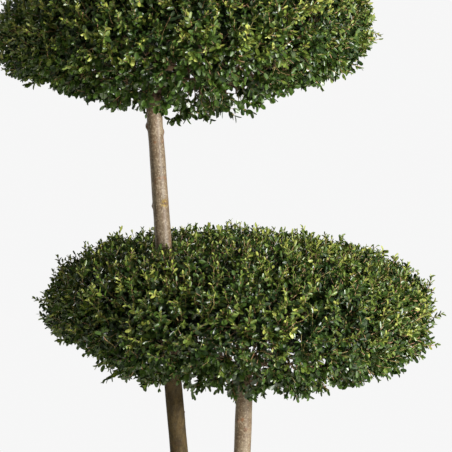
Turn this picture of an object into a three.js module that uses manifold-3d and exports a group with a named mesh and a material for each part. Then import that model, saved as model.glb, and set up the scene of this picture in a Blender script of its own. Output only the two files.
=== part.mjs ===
// A tiered privet topiary: two clipped cushions of small leaves on two slim stems that rise from one root.
// Millimetres, +Z up, +X to the right and +Y away from the viewer. The origin is on the ground, at the root.

import * as THREE from "three";
import { mergeVertices } from "three/addons/utils/BufferGeometryUtils.js";
import Module from "manifold-3d";

const wasm = await Module();
wasm.setup();

// Driving dimensions of the plant
const plantHeight = 1842;
const cushionHalfHeight = 192;
const lowerCushionWidth = 872;
const upperCushionWidth = 838;
const lowerCushionMiddle = 1039;
const stemWidthAtGround = 46;
const stemWidthAtTop = 33;
const forkHeight = 92; // where the short stem leaves the shared root crown

// The two cushions. The tilt turns the cushion about Y: positive lowers its right side. A dent is a place
// where the shears cut deeper, or left more: its middle and width in radians, and its rise as a share of
// the cushion's size.
const lowerCushion = {
  middle: new THREE.Vector3(46, 0, lowerCushionMiddle),
  halfWidth: lowerCushionWidth / 2,
  halfHeight: cushionHalfHeight,
  tilt: THREE.MathUtils.degToRad(2.3),
  lumpPhase: 5.75,
  dents: [
    { azimuth: Math.PI, latitude: -0.8, width: 0.5, rise: -0.1 },
    { azimuth: Math.PI, latitude: 0.6, width: 0.4, rise: -0.026 },
    { azimuth: 0, latitude: -0.9, width: 0.35, rise: -0.05 },
    { azimuth: 0, latitude: 0, width: 0.35, rise: 0.02 },
    { azimuth: Math.PI, latitude: 0, width: 0.35, rise: 0.02 },
    { azimuth: -Math.PI / 2, latitude: -1.1, width: 0.4, rise: -0.04 },
  ],
  seed: 11,
};
const upperCushion = {
  middle: new THREE.Vector3(-71, -50, plantHeight - cushionHalfHeight),
  halfWidth: upperCushionWidth / 2,
  halfHeight: cushionHalfHeight,
  tilt: THREE.MathUtils.degToRad(-2),
  lumpPhase: 2.9,
  dents: [
    { azimuth: Math.PI, latitude: -0.6, width: 0.4, rise: -0.04 },
    { azimuth: Math.PI, latitude: -1.1, width: 0.4, rise: -0.05 },
    { azimuth: 0, latitude: -0.85, width: 0.35, rise: -0.05 },
    { azimuth: 0, latitude: -Math.PI / 2, width: 0.25, rise: 0.075 },
  ],
  seed: 23,
};

// The line of each stem, from the ground to the point where it enters its own cushion.
const tallStem = {
  line: new THREE.CatmullRomCurve3([
    new THREE.Vector3(-22, -5, 0),
    new THREE.Vector3(-53, -45, 365),
    new THREE.Vector3(-81, -86, 728),
    new THREE.Vector3(-99, -118, 960),
    new THREE.Vector3(-113, -132, 1188),
    new THREE.Vector3(-131, -118, 1443),
    new THREE.Vector3(-135, -111, 1496),
  ]),
  widthAtGround: stemWidthAtGround,
  widthAtTip: stemWidthAtTop,
};
const shortStem = {
  line: new THREE.CatmullRomCurve3([
    new THREE.Vector3(22, 6, 0),
    new THREE.Vector3(41, 14, 365),
    new THREE.Vector3(56, 18, 728),
    new THREE.Vector3(62, 20, 874),
  ]),
  widthAtGround: stemWidthAtGround - 2,
  widthAtTip: stemWidthAtTop + 4,
};
const stemSides = 18;
const stemRings = 24;
const rootFlare = { spread: 17, height: 44, lobes: 5, lobeShare: 0.22, turn: 1 };

// Knobs left where side shoots were pruned off: share of the stem's length, angle round it and radius.
const knobStretch = 1.5; // a knob is this much longer up the stem than it is wide
const knobSink = 0.25; // share of its radius that a knob's middle lies below the bark
const tallStemKnobs = [
  { share: 0.832, angle: Math.PI, radius: 5 },
  { share: 0.82, angle: 0.2, radius: 3.5 },
  { share: 0.718, angle: 0.95 * Math.PI, radius: 3.2 },
  { share: 0.723, angle: 1.7 * Math.PI, radius: 4 },
  { share: 0.4, angle: 0.6, radius: 4 },
];
const shortStemKnobs = [
  { share: 0.8, angle: 1.275 * Math.PI, radius: 3 },
  { share: 0.757, angle: 1.594 * Math.PI, radius: 3 },
];

// The clipped surface of a cushion
const profilePower = 2.4; // 2 is an ellipse, more is squarer in the shoulder
const lumpShare = 0.021; // how uneven the clipped surface is
const lumpWaves = [
  { around: 3, share: 1 },
  { around: 5, share: 0.7 },
  { around: 2, upwards: 4, share: 0.5 },
];
const profileSteps = 240; // steps from bottom to top when its area is measured
const goldenAngle = Math.PI * (3 - Math.sqrt(5));

// The dense core that leaves and twigs stand out of
const coreDepth = 42; // from the clipped surface in to the core
const coreRoughness = 13; // how far the core's own bumps stand in or out
const coreWaves = { x: 9, y: 8, z: 13 }; // radians of bump from the core's middle to its rim
const coreWaveStart = { x: 2, z: 1 };
const coreSegments = { around: 22, upwards: 12 };

// The limbs inside a cushion
const forkShare = 0.35; // where the stem forks, from the cushion's middle towards the stem's tip
const innerStemSides = 12;
const stemStepIn = 1; // the stem is this much slimmer inside the cushion
const boughsPerCushion = 7;
const boughSides = 6;
const boughRadiusShare = 0.4; // of the stem inside the cushion
const boughTipDepth = 132; // from the clipped surface in to the end of a bough
const boughLatitudeShare = 0.4; // boughs spread flatter than the cushion's surface
const twigShares = [0.35, 0.55, 0.75, 0.95]; // where twigs may leave a bough

// Twigs, each with pairs of leaves near its tip
const shootsPerCushion = 68;
const shootNudge = { latitude: 0.12, azimuth: 0.2, depth: 8 };
const strayShootsPerCushion = 6;
const strayReach = 20; // how far a stray shoot stands out of the clipped surface
const strayShift = { latitude: 0.1, azimuth: 1.1 };
const strayLatitudeShare = 0.8;
const twigTipDepth = 40; // from the clipped surface in to the tip of a twig
const twigLead = 70; // the last stretch of a twig that points straight outwards
const twigRadius = 4.2;
const twigTaper = { start: 1.5, loss: 0.8 };
const twigSides = 3;
const twigRings = 2;

// Leaves, larger than life so that about five hundred cover the plant
const leafLength = 108;
const leafWidthShare = 0.62;
const leafThickShare = 0.055;
const leafWidestShare = 0.46; // of its length, from the root
const leafCrown = 0.02; // how far the middle of a leaf rises, as a share of its length
const leafDroop = 0.07; // how far its tip falls
const leafSizeSpread = 0.24;
const leafOpenSpread = 0.3;
const leafTurnSpread = 0.5;
const rootOffAxis = 1.2; // a leaf's root ends this far short of the middle of its twig
const leafTipMargin = 6; // how far a leaf may pass the reach of the stray shoots
const leafPairs = [
  { back: 14, open: 1.18, size: 1 }, // back from the twig's tip, radians off the twig, share of the length
  { back: 3, open: 0.9, size: 0.68 },
];

// Gaps
const seatGap = 0.3; // between two pieces that meet face to face
const stemClearance = 5; // kept free of foliage round the stems
const weldDistance = 1e-4; // corners closer than this are one corner

// A limb that rises more steeply than this share of its length takes its sides from X instead of Z.
const steepRise = 0.8;

const up = new THREE.Vector3(0, 0, 1);
const tiltAxis = new THREE.Vector3(0, 1, 0);

// The same numbers come out in the same order on every run.
function seededRandom(seed) {
  let state = seed >>> 0;
  return () => {
    state = (state + 0x6d2b79f5) >>> 0;
    let mixed = Math.imul(state ^ (state >>> 15), 1 | state);
    mixed = (mixed + Math.imul(mixed ^ (mixed >>> 7), 61 | mixed)) ^ mixed;
    return ((mixed ^ (mixed >>> 14)) >>> 0) / 2 ** 32;
  };
}

// A closed three.js geometry as a solid that can be joined and cut.
function solidOf(geometry) {
  const bare = geometry.clone();
  bare.deleteAttribute("normal");
  bare.deleteAttribute("uv");
  const merged = mergeVertices(bare, weldDistance);
  return new wasm.Manifold(
    new wasm.Mesh({
      numProp: 3,
      vertProperties: new Float32Array(merged.attributes.position.array),
      triVerts: new Uint32Array(merged.index.array),
    }),
  );
}

// A solid as a flat-shaded three.js geometry.
function geometryOf(solid) {
  const mesh = solid.getMesh();
  const geometry = new THREE.BufferGeometry();
  geometry.setAttribute("position", new THREE.BufferAttribute(mesh.vertProperties, 3));
  geometry.setIndex(new THREE.BufferAttribute(mesh.triVerts, 1));
  const faceted = geometry.toNonIndexed();
  faceted.computeVertexNormals();
  return faceted;
}

// A tapering limb: a cylinder bent along a curve. Level rings keep the cut at the ground flat.
function limb(curve, radiusAt, sides, rings, levelRings) {
  const geometry = new THREE.CylinderGeometry(1, 1, 1, sides, rings);
  const position = geometry.attributes.position;
  const chord = curve.getPoint(1).sub(curve.getPoint(0)).normalize();
  const nearlyUpright = Math.abs(chord.z) >= steepRise;
  const reference = nearlyUpright ? new THREE.Vector3(1, 0, 0) : up;
  for (let i = 0; i < position.count; i++) {
    const share = position.getY(i) + 0.5;
    const along = levelRings ? up : curve.getTangent(share);
    const side = levelRings
      ? new THREE.Vector3(1, 0, 0)
      : reference.clone().addScaledVector(along, -reference.dot(along)).normalize();
    const across = side.clone().cross(along);
    const angle = Math.atan2(position.getZ(i), position.getX(i));
    const radius = radiusAt(share, angle);
    const at = curve
      .getPoint(share)
      .addScaledVector(side, position.getX(i) * radius)
      .addScaledVector(across, position.getZ(i) * radius);
    position.setXYZ(i, at.x, at.y, at.z);
  }
  return geometry;
}

// The radius of a stem at a share of its length, without its root flare.
function taperAt(stem, share) {
  const climbed = stem.line.getPoint(share).z / stem.line.getPoint(1).z;
  return THREE.MathUtils.lerp(stem.widthAtGround, stem.widthAtTip, climbed) / 2;
}

// One stem with its taper and its lobed root flare. A margin widens it for the space that is kept clear.
function stemGeometry(stem, margin) {
  const radiusAt = (share, angle) => {
    const height = stem.line.getPoint(share).z;
    const lobe = 1 + rootFlare.lobeShare * Math.cos(rootFlare.lobes * angle + rootFlare.turn);
    return taperAt(stem, share) + margin + rootFlare.spread * lobe * Math.exp(-height / rootFlare.height);
  };
  return limb(stem.line, radiusAt, stemSides, stemRings, true);
}

// A small knob on a stem, where a side shoot was pruned off.
function knobGeometry(stem, { share, angle, radius }) {
  const ball = new THREE.IcosahedronGeometry(radius, 0);
  ball.scale(1, 1, knobStretch);
  const out = new THREE.Vector3(Math.cos(angle), Math.sin(angle), 0);
  const at = stem.line.getPoint(share).addScaledVector(out, taperAt(stem, share) - radius * knobSink);
  ball.translate(at.x, at.y, at.z);
  return ball;
}

// The direction from a cushion's middle to a latitude and an azimuth.
function directionAt(latitude, azimuth) {
  const level = Math.cos(latitude);
  return new THREE.Vector3(level * Math.cos(azimuth), level * Math.sin(azimuth), Math.sin(latitude));
}

// The uneven surface of a clipped cushion, as a share of its size.
function lump(cushion, latitude, azimuth) {
  const [broad, fine, sloping] = lumpWaves;
  const phase = cushion.lumpPhase;
  const wave =
    broad.share * Math.sin(broad.around * azimuth + phase) * Math.cos(2 * latitude + phase) +
    fine.share * Math.sin(fine.around * azimuth - 2 * phase) +
    sloping.share * Math.sin(sloping.upwards * latitude + sloping.around * azimuth + phase);
  const direction = directionAt(latitude, azimuth);
  const dented = cushion.dents.map((dent) => {
    const away = direction.angleTo(directionAt(dent.latitude, dent.azimuth)) / dent.width;
    return dent.rise * Math.exp(-away * away);
  });
  return 1 + lumpShare * wave + dented.reduce((sum, rise) => sum + rise, 0);
}

// A point on the clipped surface, or below it by a depth, with the direction that faces outwards there.
function cushionSpot(cushion, latitude, azimuth, depth) {
  const power = 2 / profilePower;
  const swell = lump(cushion, latitude, azimuth);
  const flat = Math.pow(Math.max(Math.cos(latitude), 0), power);
  const tall = Math.sign(latitude) * Math.pow(Math.abs(Math.sin(latitude)), power);
  const outFlat = Math.pow(flat, profilePower - 1) / cushion.halfWidth;
  const outTall = (Math.sign(tall) * Math.pow(Math.abs(tall), profilePower - 1)) / cushion.halfHeight;
  const outward = new THREE.Vector3(
    outFlat * Math.cos(azimuth),
    outFlat * Math.sin(azimuth),
    outTall,
  ).normalize();
  const point = new THREE.Vector3(
    cushion.halfWidth * swell * flat * Math.cos(azimuth),
    cushion.halfWidth * swell * flat * Math.sin(azimuth),
    cushion.halfHeight * swell * tall,
  ).addScaledVector(outward, -depth);
  point.applyAxisAngle(tiltAxis, cushion.tilt).add(cushion.middle);
  outward.applyAxisAngle(tiltAxis, cushion.tilt);
  return { point, outward };
}

// Whether a point lies inside the cushion's own space, which is the clipped surface grown by a margin.
function insideCushion(cushion, point, margin) {
  const local = point.clone().sub(cushion.middle).applyAxisAngle(tiltAxis, -cushion.tilt);
  const flat = Math.hypot(local.x, local.y) / (cushion.halfWidth + margin);
  const tall = Math.abs(local.z) / (cushion.halfHeight + margin);
  return Math.pow(flat, profilePower) + Math.pow(tall, profilePower) < 1 + 2 * lumpShare;
}

// Spots spread evenly over the cushion: equal areas from bottom to top, each turned by the golden angle.
function evenSpots(cushion, count) {
  const latitudeAt = (step) => (step / profileSteps - 0.5) * Math.PI;
  const level = { ...cushion, middle: new THREE.Vector3(), tilt: 0 };
  const areas = [0];
  for (let step = 0; step < profileSteps; step++) {
    const low = cushionSpot(level, latitudeAt(step), 0, 0).point;
    const high = cushionSpot(level, latitudeAt(step + 1), 0, 0).point;
    areas.push(areas[step] + ((low.x + high.x) / 2) * low.distanceTo(high));
  }
  const spots = [];
  for (let i = 0; i < count; i++) {
    const share = ((i + 0.5) / count) * areas[profileSteps];
    const step = areas.findIndex((area) => area >= share);
    const part = (share - areas[step - 1]) / (areas[step] - areas[step - 1]);
    spots.push({ latitude: latitudeAt(step - 1 + part), azimuth: i * goldenAngle });
  }
  return spots;
}

// The dense core: a sphere drawn out to the cushion's shape, below its surface, with its own bumps.
function coreGeometry(cushion) {
  const core = new THREE.SphereGeometry(1, coreSegments.around, coreSegments.upwards);
  core.rotateX(Math.PI / 2);
  const position = core.attributes.position;
  for (let i = 0; i < position.count; i++) {
    const direction = new THREE.Vector3().fromBufferAttribute(position, i);
    const latitude = Math.asin(THREE.MathUtils.clamp(direction.z, -1, 1));
    const azimuth = Math.atan2(direction.y, direction.x);
    const bump =
      Math.sin(coreWaves.x * direction.x + coreWaveStart.x) *
      Math.cos(coreWaves.y * direction.y) *
      Math.sin(coreWaves.z * direction.z + coreWaveStart.z);
    const { point } = cushionSpot(cushion, latitude, azimuth, coreDepth + coreRoughness * bump);
    position.setXYZ(i, point.x, point.y, point.z);
  }
  return core;
}

// One leaf: an octahedron drawn out into a thin, slightly bowed blade. Its root is the corner at -X, its tip
// the one at +X, its edges lie at +Y and -Y, and +Z and -Z are the two faces of the blade.
function leafGeometry(root, along, facing, length) {
  const geometry = new THREE.OctahedronGeometry(1, 0);
  const side = facing.clone().cross(along).normalize();
  const outOfBlade = along.clone().cross(side).normalize();
  const position = geometry.attributes.position;
  for (let i = 0; i < position.count; i++) {
    const [x, y, z] = [position.getX(i), position.getY(i), position.getZ(i)];
    const reach = x === 0 ? leafWidestShare : (x + 1) / 2;
    const isMidrib = x === 0 && y === 0;
    const rise = (isMidrib ? leafCrown : 0) - (x > 0 ? leafDroop : 0);
    const at = root
      .clone()
      .addScaledVector(along, reach * length)
      .addScaledVector(side, (y * leafWidthShare * length) / 2)
      .addScaledVector(outOfBlade, ((z * leafThickShare) / 2 + rise) * length);
    position.setXYZ(i, at.x, at.y, at.z);
  }
  return geometry;
}

// Whether two solids share any space.
function meet(one, other) {
  const a = one.boundingBox();
  const b = other.boundingBox();
  const apart = [0, 1, 2].some((axis) => a.min[axis] > b.max[axis] || b.min[axis] > a.max[axis]);
  return !apart && one.intersect(other).volume() > 0;
}

// The place on any bough that lies nearest to a point.
function nearestOn(boughs, point) {
  const places = boughs.flatMap((bough) => twigShares.map((share) => bough.getPoint(share)));
  return places.reduce((best, place) => (place.distanceTo(point) < best.distanceTo(point) ? place : best));
}

// One clipped cushion: a stem that forks into boughs, twigs that branch from the boughs and end in leaves,
// and the dense core that the twigs and leaves stand out of, all fused into one solid.
function cushionSolid(cushion, carrier, keepClear) {
  const stemTip = carrier.line.getPoint(1);
  const stemRadius = carrier.widthAtTip / 2 - stemStepIn;
  const random = seededRandom(cushion.seed);
  const spread = (width) => (random() - 0.5) * width;
  const limbs = [];
  const leaves = [];

  const fork = cushion.middle.clone().lerp(stemTip, forkShare);
  const stemLine = new THREE.LineCurve3(stemTip.clone().addScaledVector(up, seatGap), fork);
  limbs.push(solidOf(limb(stemLine, () => stemRadius, innerStemSides, 1, true)));

  const boughs = evenSpots(cushion, boughsPerCushion).map((spot) => {
    const latitude = spot.latitude * boughLatitudeShare;
    const end = cushionSpot(cushion, latitude, spot.azimuth, boughTipDepth).point;
    return new THREE.LineCurve3(fork, end);
  });
  for (const bough of boughs)
    limbs.push(solidOf(limb(bough, () => stemRadius * boughRadiusShare, boughSides, 1, false)));

  const addLeaf = (root, along, facing, length) => {
    const leaf = solidOf(leafGeometry(root, along, facing, length));
    const tip = root.clone().addScaledVector(along, length);
    const leavesSpace = !insideCushion(cushion, tip, strayReach + leafTipMargin);
    const crossesLeaf = leaves.some((other) => meet(leaf, other));
    if (leavesSpace || crossesLeaf || meet(leaf, keepClear)) return;
    leaves.push(leaf);
  };

  const growShoot = (latitude, azimuth, tipDepth) => {
    const { point: tip, outward } = cushionSpot(cushion, latitude, azimuth, tipDepth);
    const bend = tip.clone().addScaledVector(outward, -twigLead);
    const twigLine = new THREE.QuadraticBezierCurve3(nearestOn(boughs, tip), bend, tip);
    const radiusAt = (share) => twigRadius * (twigTaper.start - twigTaper.loss * share);
    const twig = solidOf(limb(twigLine, radiusAt, twigSides, twigRings, false));
    if (meet(twig, keepClear)) return;
    limbs.push(twig);
    const along = twigLine.getTangent(1);
    const level = Math.abs(along.z) < steepRise ? up : new THREE.Vector3(1, 0, 0);
    const sideways = level.clone().cross(along).normalize().applyAxisAngle(along, random() * Math.PI);
    leafPairs.forEach((pair, index) => {
      for (const half of [0, Math.PI]) {
        const turn = half + index * (Math.PI / 2) + random() * leafTurnSpread;
        const out = sideways.clone().applyAxisAngle(along, turn);
        const open = pair.open + spread(leafOpenSpread);
        const direction = along
          .clone()
          .multiplyScalar(Math.cos(open))
          .addScaledVector(out, Math.sin(open))
          .normalize();
        const root = tip.clone().addScaledVector(along, -pair.back).addScaledVector(direction, rootOffAxis);
        addLeaf(root, direction, along, leafLength * pair.size * (1 + spread(leafSizeSpread)));
      }
    });
  };

  for (const { latitude, azimuth } of evenSpots(cushion, shootsPerCushion))
    growShoot(
      latitude + spread(shootNudge.latitude),
      azimuth + spread(shootNudge.azimuth),
      twigTipDepth + spread(shootNudge.depth),
    );
  for (const { latitude, azimuth } of evenSpots(cushion, strayShootsPerCushion))
    growShoot(
      latitude * strayLatitudeShare + strayShift.latitude,
      azimuth + strayShift.azimuth,
      twigTipDepth - strayReach,
    );

  const core = solidOf(coreGeometry(cushion));
  const whole = wasm.Manifold.union([core, ...limbs, ...leaves]).subtract(keepClear);
  const largestFirst = whole.decompose().sort((a, b) => b.volume() - a.volume());
  return largestFirst[0];
}

// The root crown belongs to the tall stem, and the short stem starts on its top.
const fullShortStem = solidOf(stemGeometry(shortStem, 0));
const crownOfShortStem = fullShortStem.trimByPlane([0, 0, -1], -forkHeight);
const upperPartOfShortStem = fullShortStem.trimByPlane([0, 0, 1], forkHeight + seatGap);
const tallStemSolid = wasm.Manifold.union([
  solidOf(stemGeometry(tallStem, 0)),
  crownOfShortStem,
  ...tallStemKnobs.map((knob) => solidOf(knobGeometry(tallStem, knob))),
]);
const shortStemSolid = wasm.Manifold.union([
  upperPartOfShortStem,
  ...shortStemKnobs.map((knob) => solidOf(knobGeometry(shortStem, knob))),
]);

// The foliage keeps clear of both stems, and each cushion grows from the tip of its own.
const keepClear = wasm.Manifold.union([
  solidOf(stemGeometry(tallStem, stemClearance)),
  solidOf(stemGeometry(shortStem, stemClearance)),
]);
const lowerCushionSolid = cushionSolid(lowerCushion, shortStem, keepClear);
const upperCushionSolid = cushionSolid(upperCushion, tallStem, keepClear);

// Bark and leaf as plain materials
const bark = new THREE.MeshStandardMaterial({
  name: "bark",
  color: 0x8c7d68,
  roughness: 0.75,
  metalness: 0,
});
const foliage = new THREE.MeshStandardMaterial({
  name: "foliage",
  color: 0x2f4a1f,
  roughness: 0.45,
  metalness: 0,
});

// The finished plant
const plant = new THREE.Group();
const parts = [
  ["tall_stem", tallStemSolid, bark],
  ["short_stem", shortStemSolid, bark],
  ["lower_cushion", lowerCushionSolid, foliage],
  ["upper_cushion", upperCushionSolid, foliage],
];
for (const [name, solid, material] of parts) {
  const mesh = new THREE.Mesh(geometryOf(solid), material);
  mesh.name = name;
  plant.add(mesh);
}

export default plant;
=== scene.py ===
# %% [markdown]
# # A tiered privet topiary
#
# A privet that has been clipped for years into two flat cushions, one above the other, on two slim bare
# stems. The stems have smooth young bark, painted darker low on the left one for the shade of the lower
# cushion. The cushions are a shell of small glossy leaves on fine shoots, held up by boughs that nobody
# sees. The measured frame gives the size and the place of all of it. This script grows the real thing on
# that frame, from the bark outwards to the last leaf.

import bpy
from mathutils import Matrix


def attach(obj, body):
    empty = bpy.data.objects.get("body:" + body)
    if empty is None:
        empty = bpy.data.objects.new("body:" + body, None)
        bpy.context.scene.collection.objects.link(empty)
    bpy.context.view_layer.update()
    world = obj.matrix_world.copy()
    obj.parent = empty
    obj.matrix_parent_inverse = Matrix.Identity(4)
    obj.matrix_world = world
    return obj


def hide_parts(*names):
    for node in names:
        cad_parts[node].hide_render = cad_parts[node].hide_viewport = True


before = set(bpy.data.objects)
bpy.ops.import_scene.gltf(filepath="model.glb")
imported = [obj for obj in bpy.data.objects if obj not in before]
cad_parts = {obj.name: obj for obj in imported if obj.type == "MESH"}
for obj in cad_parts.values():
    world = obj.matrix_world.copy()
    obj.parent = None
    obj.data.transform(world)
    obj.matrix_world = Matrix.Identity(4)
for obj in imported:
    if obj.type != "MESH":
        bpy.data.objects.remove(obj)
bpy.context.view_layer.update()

# %% [markdown]
# ## Camera
#
# The picture is taken from four metres away with a long lens, a little above the lower cushion, so both
# cushions look flat and hardly any perspective shows. The camera could be set by eye. Here it is worked out
# from four facts read off the picture: the scale, the eye level, the middle of the frame and the distance.
# The lens then follows from the width that the frame covers.

# %% Place the camera
import math

import bpy
import numpy as np
from mathutils import Vector

FRAME_PIXELS = 452
METRES_PER_PIXEL = 0.0022
AXIS_COLUMN = 217
GROUND_ROW = 782
EYE_ROW = 145
CAMERA_DISTANCE = 4.0
SENSOR_MILLIMETRES = 36
middle_pixel = FRAME_PIXELS / 2
view_x = (middle_pixel - AXIS_COLUMN) * METRES_PER_PIXEL
view_height = (GROUND_ROW - middle_pixel) * METRES_PER_PIXEL
eye_height = (GROUND_ROW - EYE_ROW) * METRES_PER_PIXEL


def aim(thing, place, target):
    """Puts a camera or a light at a place, turned so that it looks at the target."""
    thing.location = place
    thing.rotation_euler = (Vector(target) - Vector(place)).to_track_quat("-Z", "Y").to_euler()


scene = bpy.context.scene
camera = bpy.data.objects.new("camera", bpy.data.cameras.new("camera"))
scene.collection.objects.link(camera)
scene.camera = camera
view_target = Vector((view_x, 0, view_height))
aim(camera, (view_x, -CAMERA_DISTANCE, eye_height), view_target)
sight = (view_target - camera.location).length
camera.data.sensor_width = SENSOR_MILLIMETRES
camera.data.lens = SENSOR_MILLIMETRES * sight / (FRAME_PIXELS * METRES_PER_PIXEL)
print("camera at", tuple(round(value, 3) for value in camera.location), "lens", round(camera.data.lens, 1))

# %% [markdown]
# ## The lines that the plant grows along
#
# Each stem is a smooth curve through a few points that were read off the real one, thicker at the ground
# than at the tip. The curve could be a Blender curve with a bevel. A formula is used instead, because the
# bark, the foliage that keeps clear of it and the limbs inside the crown all have to ask the same line for
# points and thicknesses.

# %% Points and widths of the two stems
STEM_WIDTH_AT_GROUND = 0.046
STEM_WIDTH_AT_TOP = 0.033
FLARE = {"spread": 0.017, "height": 0.044, "lobes": 5, "lobe_share": 0.22, "turn": 1}
TALL_STEM = {
    "points": [
        (-0.022, -0.005, 0),
        (-0.053, -0.045, 0.365),
        (-0.081, -0.086, 0.728),
        (-0.099, -0.118, 0.960),
        (-0.113, -0.132, 1.188),
        (-0.131, -0.118, 1.443),
        (-0.135, -0.111, 1.496),
    ],
    "widths": (STEM_WIDTH_AT_GROUND, STEM_WIDTH_AT_TOP),
}
SHORT_STEM = {
    "points": [
        (0.022, 0.006, 0),
        (0.041, 0.014, 0.365),
        (0.056, 0.018, 0.728),
        (0.062, 0.020, 0.874),
    ],
    "widths": (STEM_WIDTH_AT_GROUND - 0.002, STEM_WIDTH_AT_TOP + 0.004),
}
print("points read off the stems", len(TALL_STEM["points"]), "and", len(SHORT_STEM["points"]))


# %% A smooth line through the points of a stem
def stem_line(stem, share):
    """Points of a stem at shares of its length, on a smooth curve that passes through all its points."""
    points = np.array(stem["points"], float)
    points = np.vstack([2 * points[0] - points[1], points, 2 * points[-1] - points[-2]])
    spans = len(points) - 3
    position = np.clip(np.atleast_1d(share), 0, 1) * spans
    span = np.minimum(position.astype(int), spans - 1)
    t = (position - span)[:, None]
    p0, p1, p2, p3 = (points[span + step] for step in range(4))
    d0, d1, d2 = (
        np.sqrt(np.linalg.norm(b - a, axis=1))[:, None] for a, b in ((p0, p1), (p1, p2), (p2, p3))
    )
    start = ((p1 - p0) / d0 - (p2 - p0) / (d0 + d1) + (p2 - p1) / d1) * d1
    end = ((p2 - p1) / d1 - (p3 - p1) / (d1 + d2) + (p3 - p2) / d2) * d1
    square = -3 * p1 + 3 * p2 - 2 * start - end
    cube = 2 * p1 - 2 * p2 + start + end
    return p1 + start * t + square * t**2 + cube * t**3


def stem_radius(stem, height):
    """The radius of a stem at a height, without its root flare."""
    climbed = np.clip(height / stem["points"][-1][2], 0, 1)
    return (stem["widths"][0] + (stem["widths"][1] - stem["widths"][0]) * climbed) / 2


for name, stem in (("tall stem", TALL_STEM), ("short stem", SHORT_STEM)):
    print(name, "tip", stem_line(stem, 1)[0].round(3), "radius", stem_radius(stem, stem["points"][-1][2]))

# %% [markdown]
# ## Bark
#
# The stems are young wood: smooth grey-brown bark with low swellings, faint rings where growth paused and a
# few knobs where side shoots were cut away. Both stems flare out into one root crown. They could be two
# tubes that run into each other. A cleaner way is to bend two cylinders along the stem lines, drop the
# knobs in, and let a voxel remesh fuse them into a single skin, as grafted wood grows together. The
# remeshed skin is fine enough to carry the relief as real geometry.

# %% Bend a cylinder along each stem
import bmesh

STEM_SEGMENTS = 40
STEM_RINGS = 160
BELOW_GROUND = 0.012


def add_stem(skin, stem):
    """Adds a closed cylinder to the skin, bent along the stem, with its taper and its flare."""
    tube = bmesh.new()
    bmesh.ops.create_cone(tube, cap_ends=True, segments=STEM_SEGMENTS, radius1=1, radius2=1, depth=1)
    # The cylinder is one high, so an edge that climbs more than half of that is an upright.
    uprights = [edge for edge in tube.edges if abs(edge.verts[0].co.z - edge.verts[1].co.z) > 0.5]
    bmesh.ops.subdivide_edges(tube, edges=uprights, cuts=STEM_RINGS - 1)
    for corner in tube.verts:
        share = corner.co.z + 0.5
        centre = stem_line(stem, share)[0]
        angle = -math.atan2(corner.co.y, corner.co.x)
        lobe = 1 + FLARE["lobe_share"] * math.cos(FLARE["lobes"] * angle + FLARE["turn"])
        flare = FLARE["spread"] * lobe * math.exp(-centre[2] / FLARE["height"])
        radius = stem_radius(stem, centre[2]) + flare
        # Only the lowest ring goes below the ground, so that the cut at the ground finds a whole skin.
        sunk = BELOW_GROUND if share < 0.5 / STEM_RINGS else 0
        corner.co = (centre[0] + corner.co.x * radius, centre[1] + corner.co.y * radius, centre[2] - sunk)
    bent = bpy.data.meshes.new("bent")
    tube.to_mesh(bent)
    tube.free()
    skin.from_mesh(bent)
    bpy.data.meshes.remove(bent)


bark_skin = bmesh.new()
add_stem(bark_skin, TALL_STEM)
add_stem(bark_skin, SHORT_STEM)
print("bent cylinders", len(bark_skin.verts), "corners")

# %% Knobs where side shoots were cut away
def table(columns, *rows):
    """A list of rows, each a dictionary with the same columns."""
    return [dict(zip(columns, row)) for row in rows]


KNOBS = table(
    ("stem", "share", "angle", "radius"),
    (TALL_STEM, 0.832, math.pi, 0.005),
    (TALL_STEM, 0.82, 0.2, 0.0035),
    (TALL_STEM, 0.718, 0.95 * math.pi, 0.0032),
    (TALL_STEM, 0.723, 1.7 * math.pi, 0.004),
    (TALL_STEM, 0.4, 0.6, 0.004),
    (SHORT_STEM, 0.8, 1.275 * math.pi, 0.003),
    (SHORT_STEM, 0.757, 1.594 * math.pi, 0.003),
)
KNOB_STRETCH = 1.5
KNOB_SINK = 0.25
for knob in KNOBS:
    centre = Vector(stem_line(knob["stem"], knob["share"])[0])
    out = Vector((math.cos(knob["angle"]), math.sin(knob["angle"]), 0))
    offset = stem_radius(knob["stem"], centre.z) - knob["radius"] * KNOB_SINK
    knob["place"] = centre + out * offset
    ball = bmesh.ops.create_icosphere(bark_skin, subdivisions=2, radius=knob["radius"])["verts"]
    bmesh.ops.scale(bark_skin, vec=(1, 1, KNOB_STRETCH), verts=ball)
    bmesh.ops.translate(bark_skin, vec=knob["place"], verts=ball)
print("knobs", len(KNOBS))

# %% Fuse everything into one skin
BARK_VOXEL = 0.0027
SOFTENING = 0.5
SOFTENING_ROUNDS = 4


def object_from(shape, name):
    """A bmesh as an object of the scene."""
    mesh = bpy.data.meshes.new(name)
    shape.to_mesh(mesh)
    shape.free()
    piece = bpy.data.objects.new(name, mesh)
    scene.collection.objects.link(piece)
    return piece


def apply_modifiers(piece):
    """Replaces the piece's mesh by what its modifiers make of it."""
    graph = bpy.context.evaluated_depsgraph_get()
    finished = bpy.data.meshes.new_from_object(piece.evaluated_get(graph))
    rough = piece.data
    piece.modifiers.clear()
    piece.data = finished
    bpy.data.meshes.remove(rough)
    finished.name = piece.name


bark = object_from(bark_skin, "bark")
fuse = bark.modifiers.new("fuse", "REMESH")
fuse.mode = "VOXEL"
fuse.voxel_size = BARK_VOXEL
soften = bark.modifiers.new("soften", "SMOOTH")
soften.factor = SOFTENING
soften.iterations = SOFTENING_ROUNDS
apply_modifiers(bark)
print("fused skin", len(bark.data.vertices), "corners")

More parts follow.
